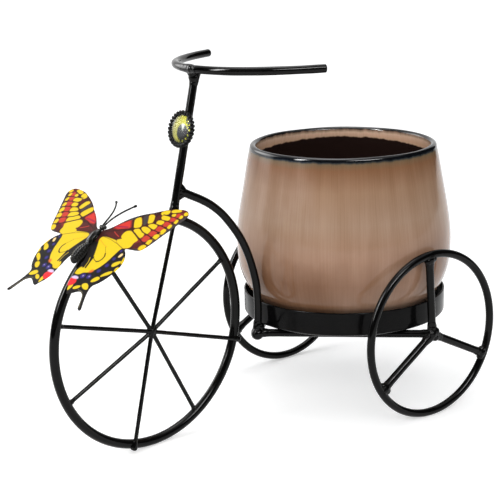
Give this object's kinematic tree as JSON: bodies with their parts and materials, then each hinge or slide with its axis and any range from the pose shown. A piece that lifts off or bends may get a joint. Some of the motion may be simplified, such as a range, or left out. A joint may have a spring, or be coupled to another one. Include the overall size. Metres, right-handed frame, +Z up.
{
  "type": "tricycle planter",
  "caption": "Welded wire tricycle that carries a bulging glazed pot in a tray, with a bowed handlebar, a round headlamp and a butterfly on the front wheel.",
  "frame": {"origin": "on the ground plane, under the middle of the whole object's bounds", "axes": "+X along the tricycle from its front wheel to its rear wheels, +Z up, +Y to the side of the far rear wheel"},
  "size_m": [0.398, 0.2052, 0.2978],
  "materials": {
    "rod_paint": "gloss",
    "tray_paint": "gloss",
    "pot_glaze": "gloss",
    "lamp_metal": "satin",
    "lamp_print": "printed",
    "lamp_glass": "clear",
    "wing_print": "printed",
    "butterfly_plastic": "satin",
    "magnet_plating": "plated"
  },
  "bodies": {
    "stand": {"backbone": "rod_paint", "backbone_foot_weld": "rod_paint", "base_bar_far": "rod_paint", "base_bar_near": "rod_paint", "front_hub_weld": "rod_paint", "front_rim": "rod_paint", "front_spoke_1": "rod_paint", "front_spoke_2": "rod_paint", "front_spoke_3": "rod_paint", "front_spoke_4": "rod_paint", "front_spoke_5": "rod_paint", "front_spoke_6": "rod_paint", "front_spoke_7": "rod_paint", "front_spoke_8": "rod_paint", "handlebar": "rod_paint", "headlamp_back_plate": "lamp_metal", "headlamp_bezel": "lamp_metal", "headlamp_glass": "lamp_glass", "headlamp_print": "lamp_print", "rear_hub_weld_far": "rod_paint", "rear_hub_weld_near": "rod_paint", "rear_rim_far": "rod_paint", "rear_rim_near": "rod_paint", "rear_spoke_far_1": "rod_paint", "rear_spoke_far_2": "rod_paint", "rear_spoke_far_3": "rod_paint", "rear_spoke_near_1": "rod_paint", "rear_spoke_near_2": "rod_paint", "rear_spoke_near_3": "rod_paint", "stem": "rod_paint", "stem_head_weld": "rod_paint", "tray": "tray_paint"},
    "pot": {"pot": "pot_glaze"},
    "butterfly": {"antenna_far": "butterfly_plastic", "antenna_near": "butterfly_plastic", "butterfly_body": "butterfly_plastic", "butterfly_head": "butterfly_plastic", "butterfly_magnet": "magnet_plating", "wing_far": "wing_print", "wing_near": "wing_print"}
  },
  "joints": [
    {"name": "pot_lift", "type": "slide", "parent": "stand", "child": "pot", "axis": [0, 0, 1], "range_m": [0, 0.225]},
    {"name": "butterfly_lift", "type": "slide", "parent": "stand", "child": "butterfly", "axis": [-0.5523, -0.0993, 0.8277], "range_m": [0, 0.06]}
  ]
}
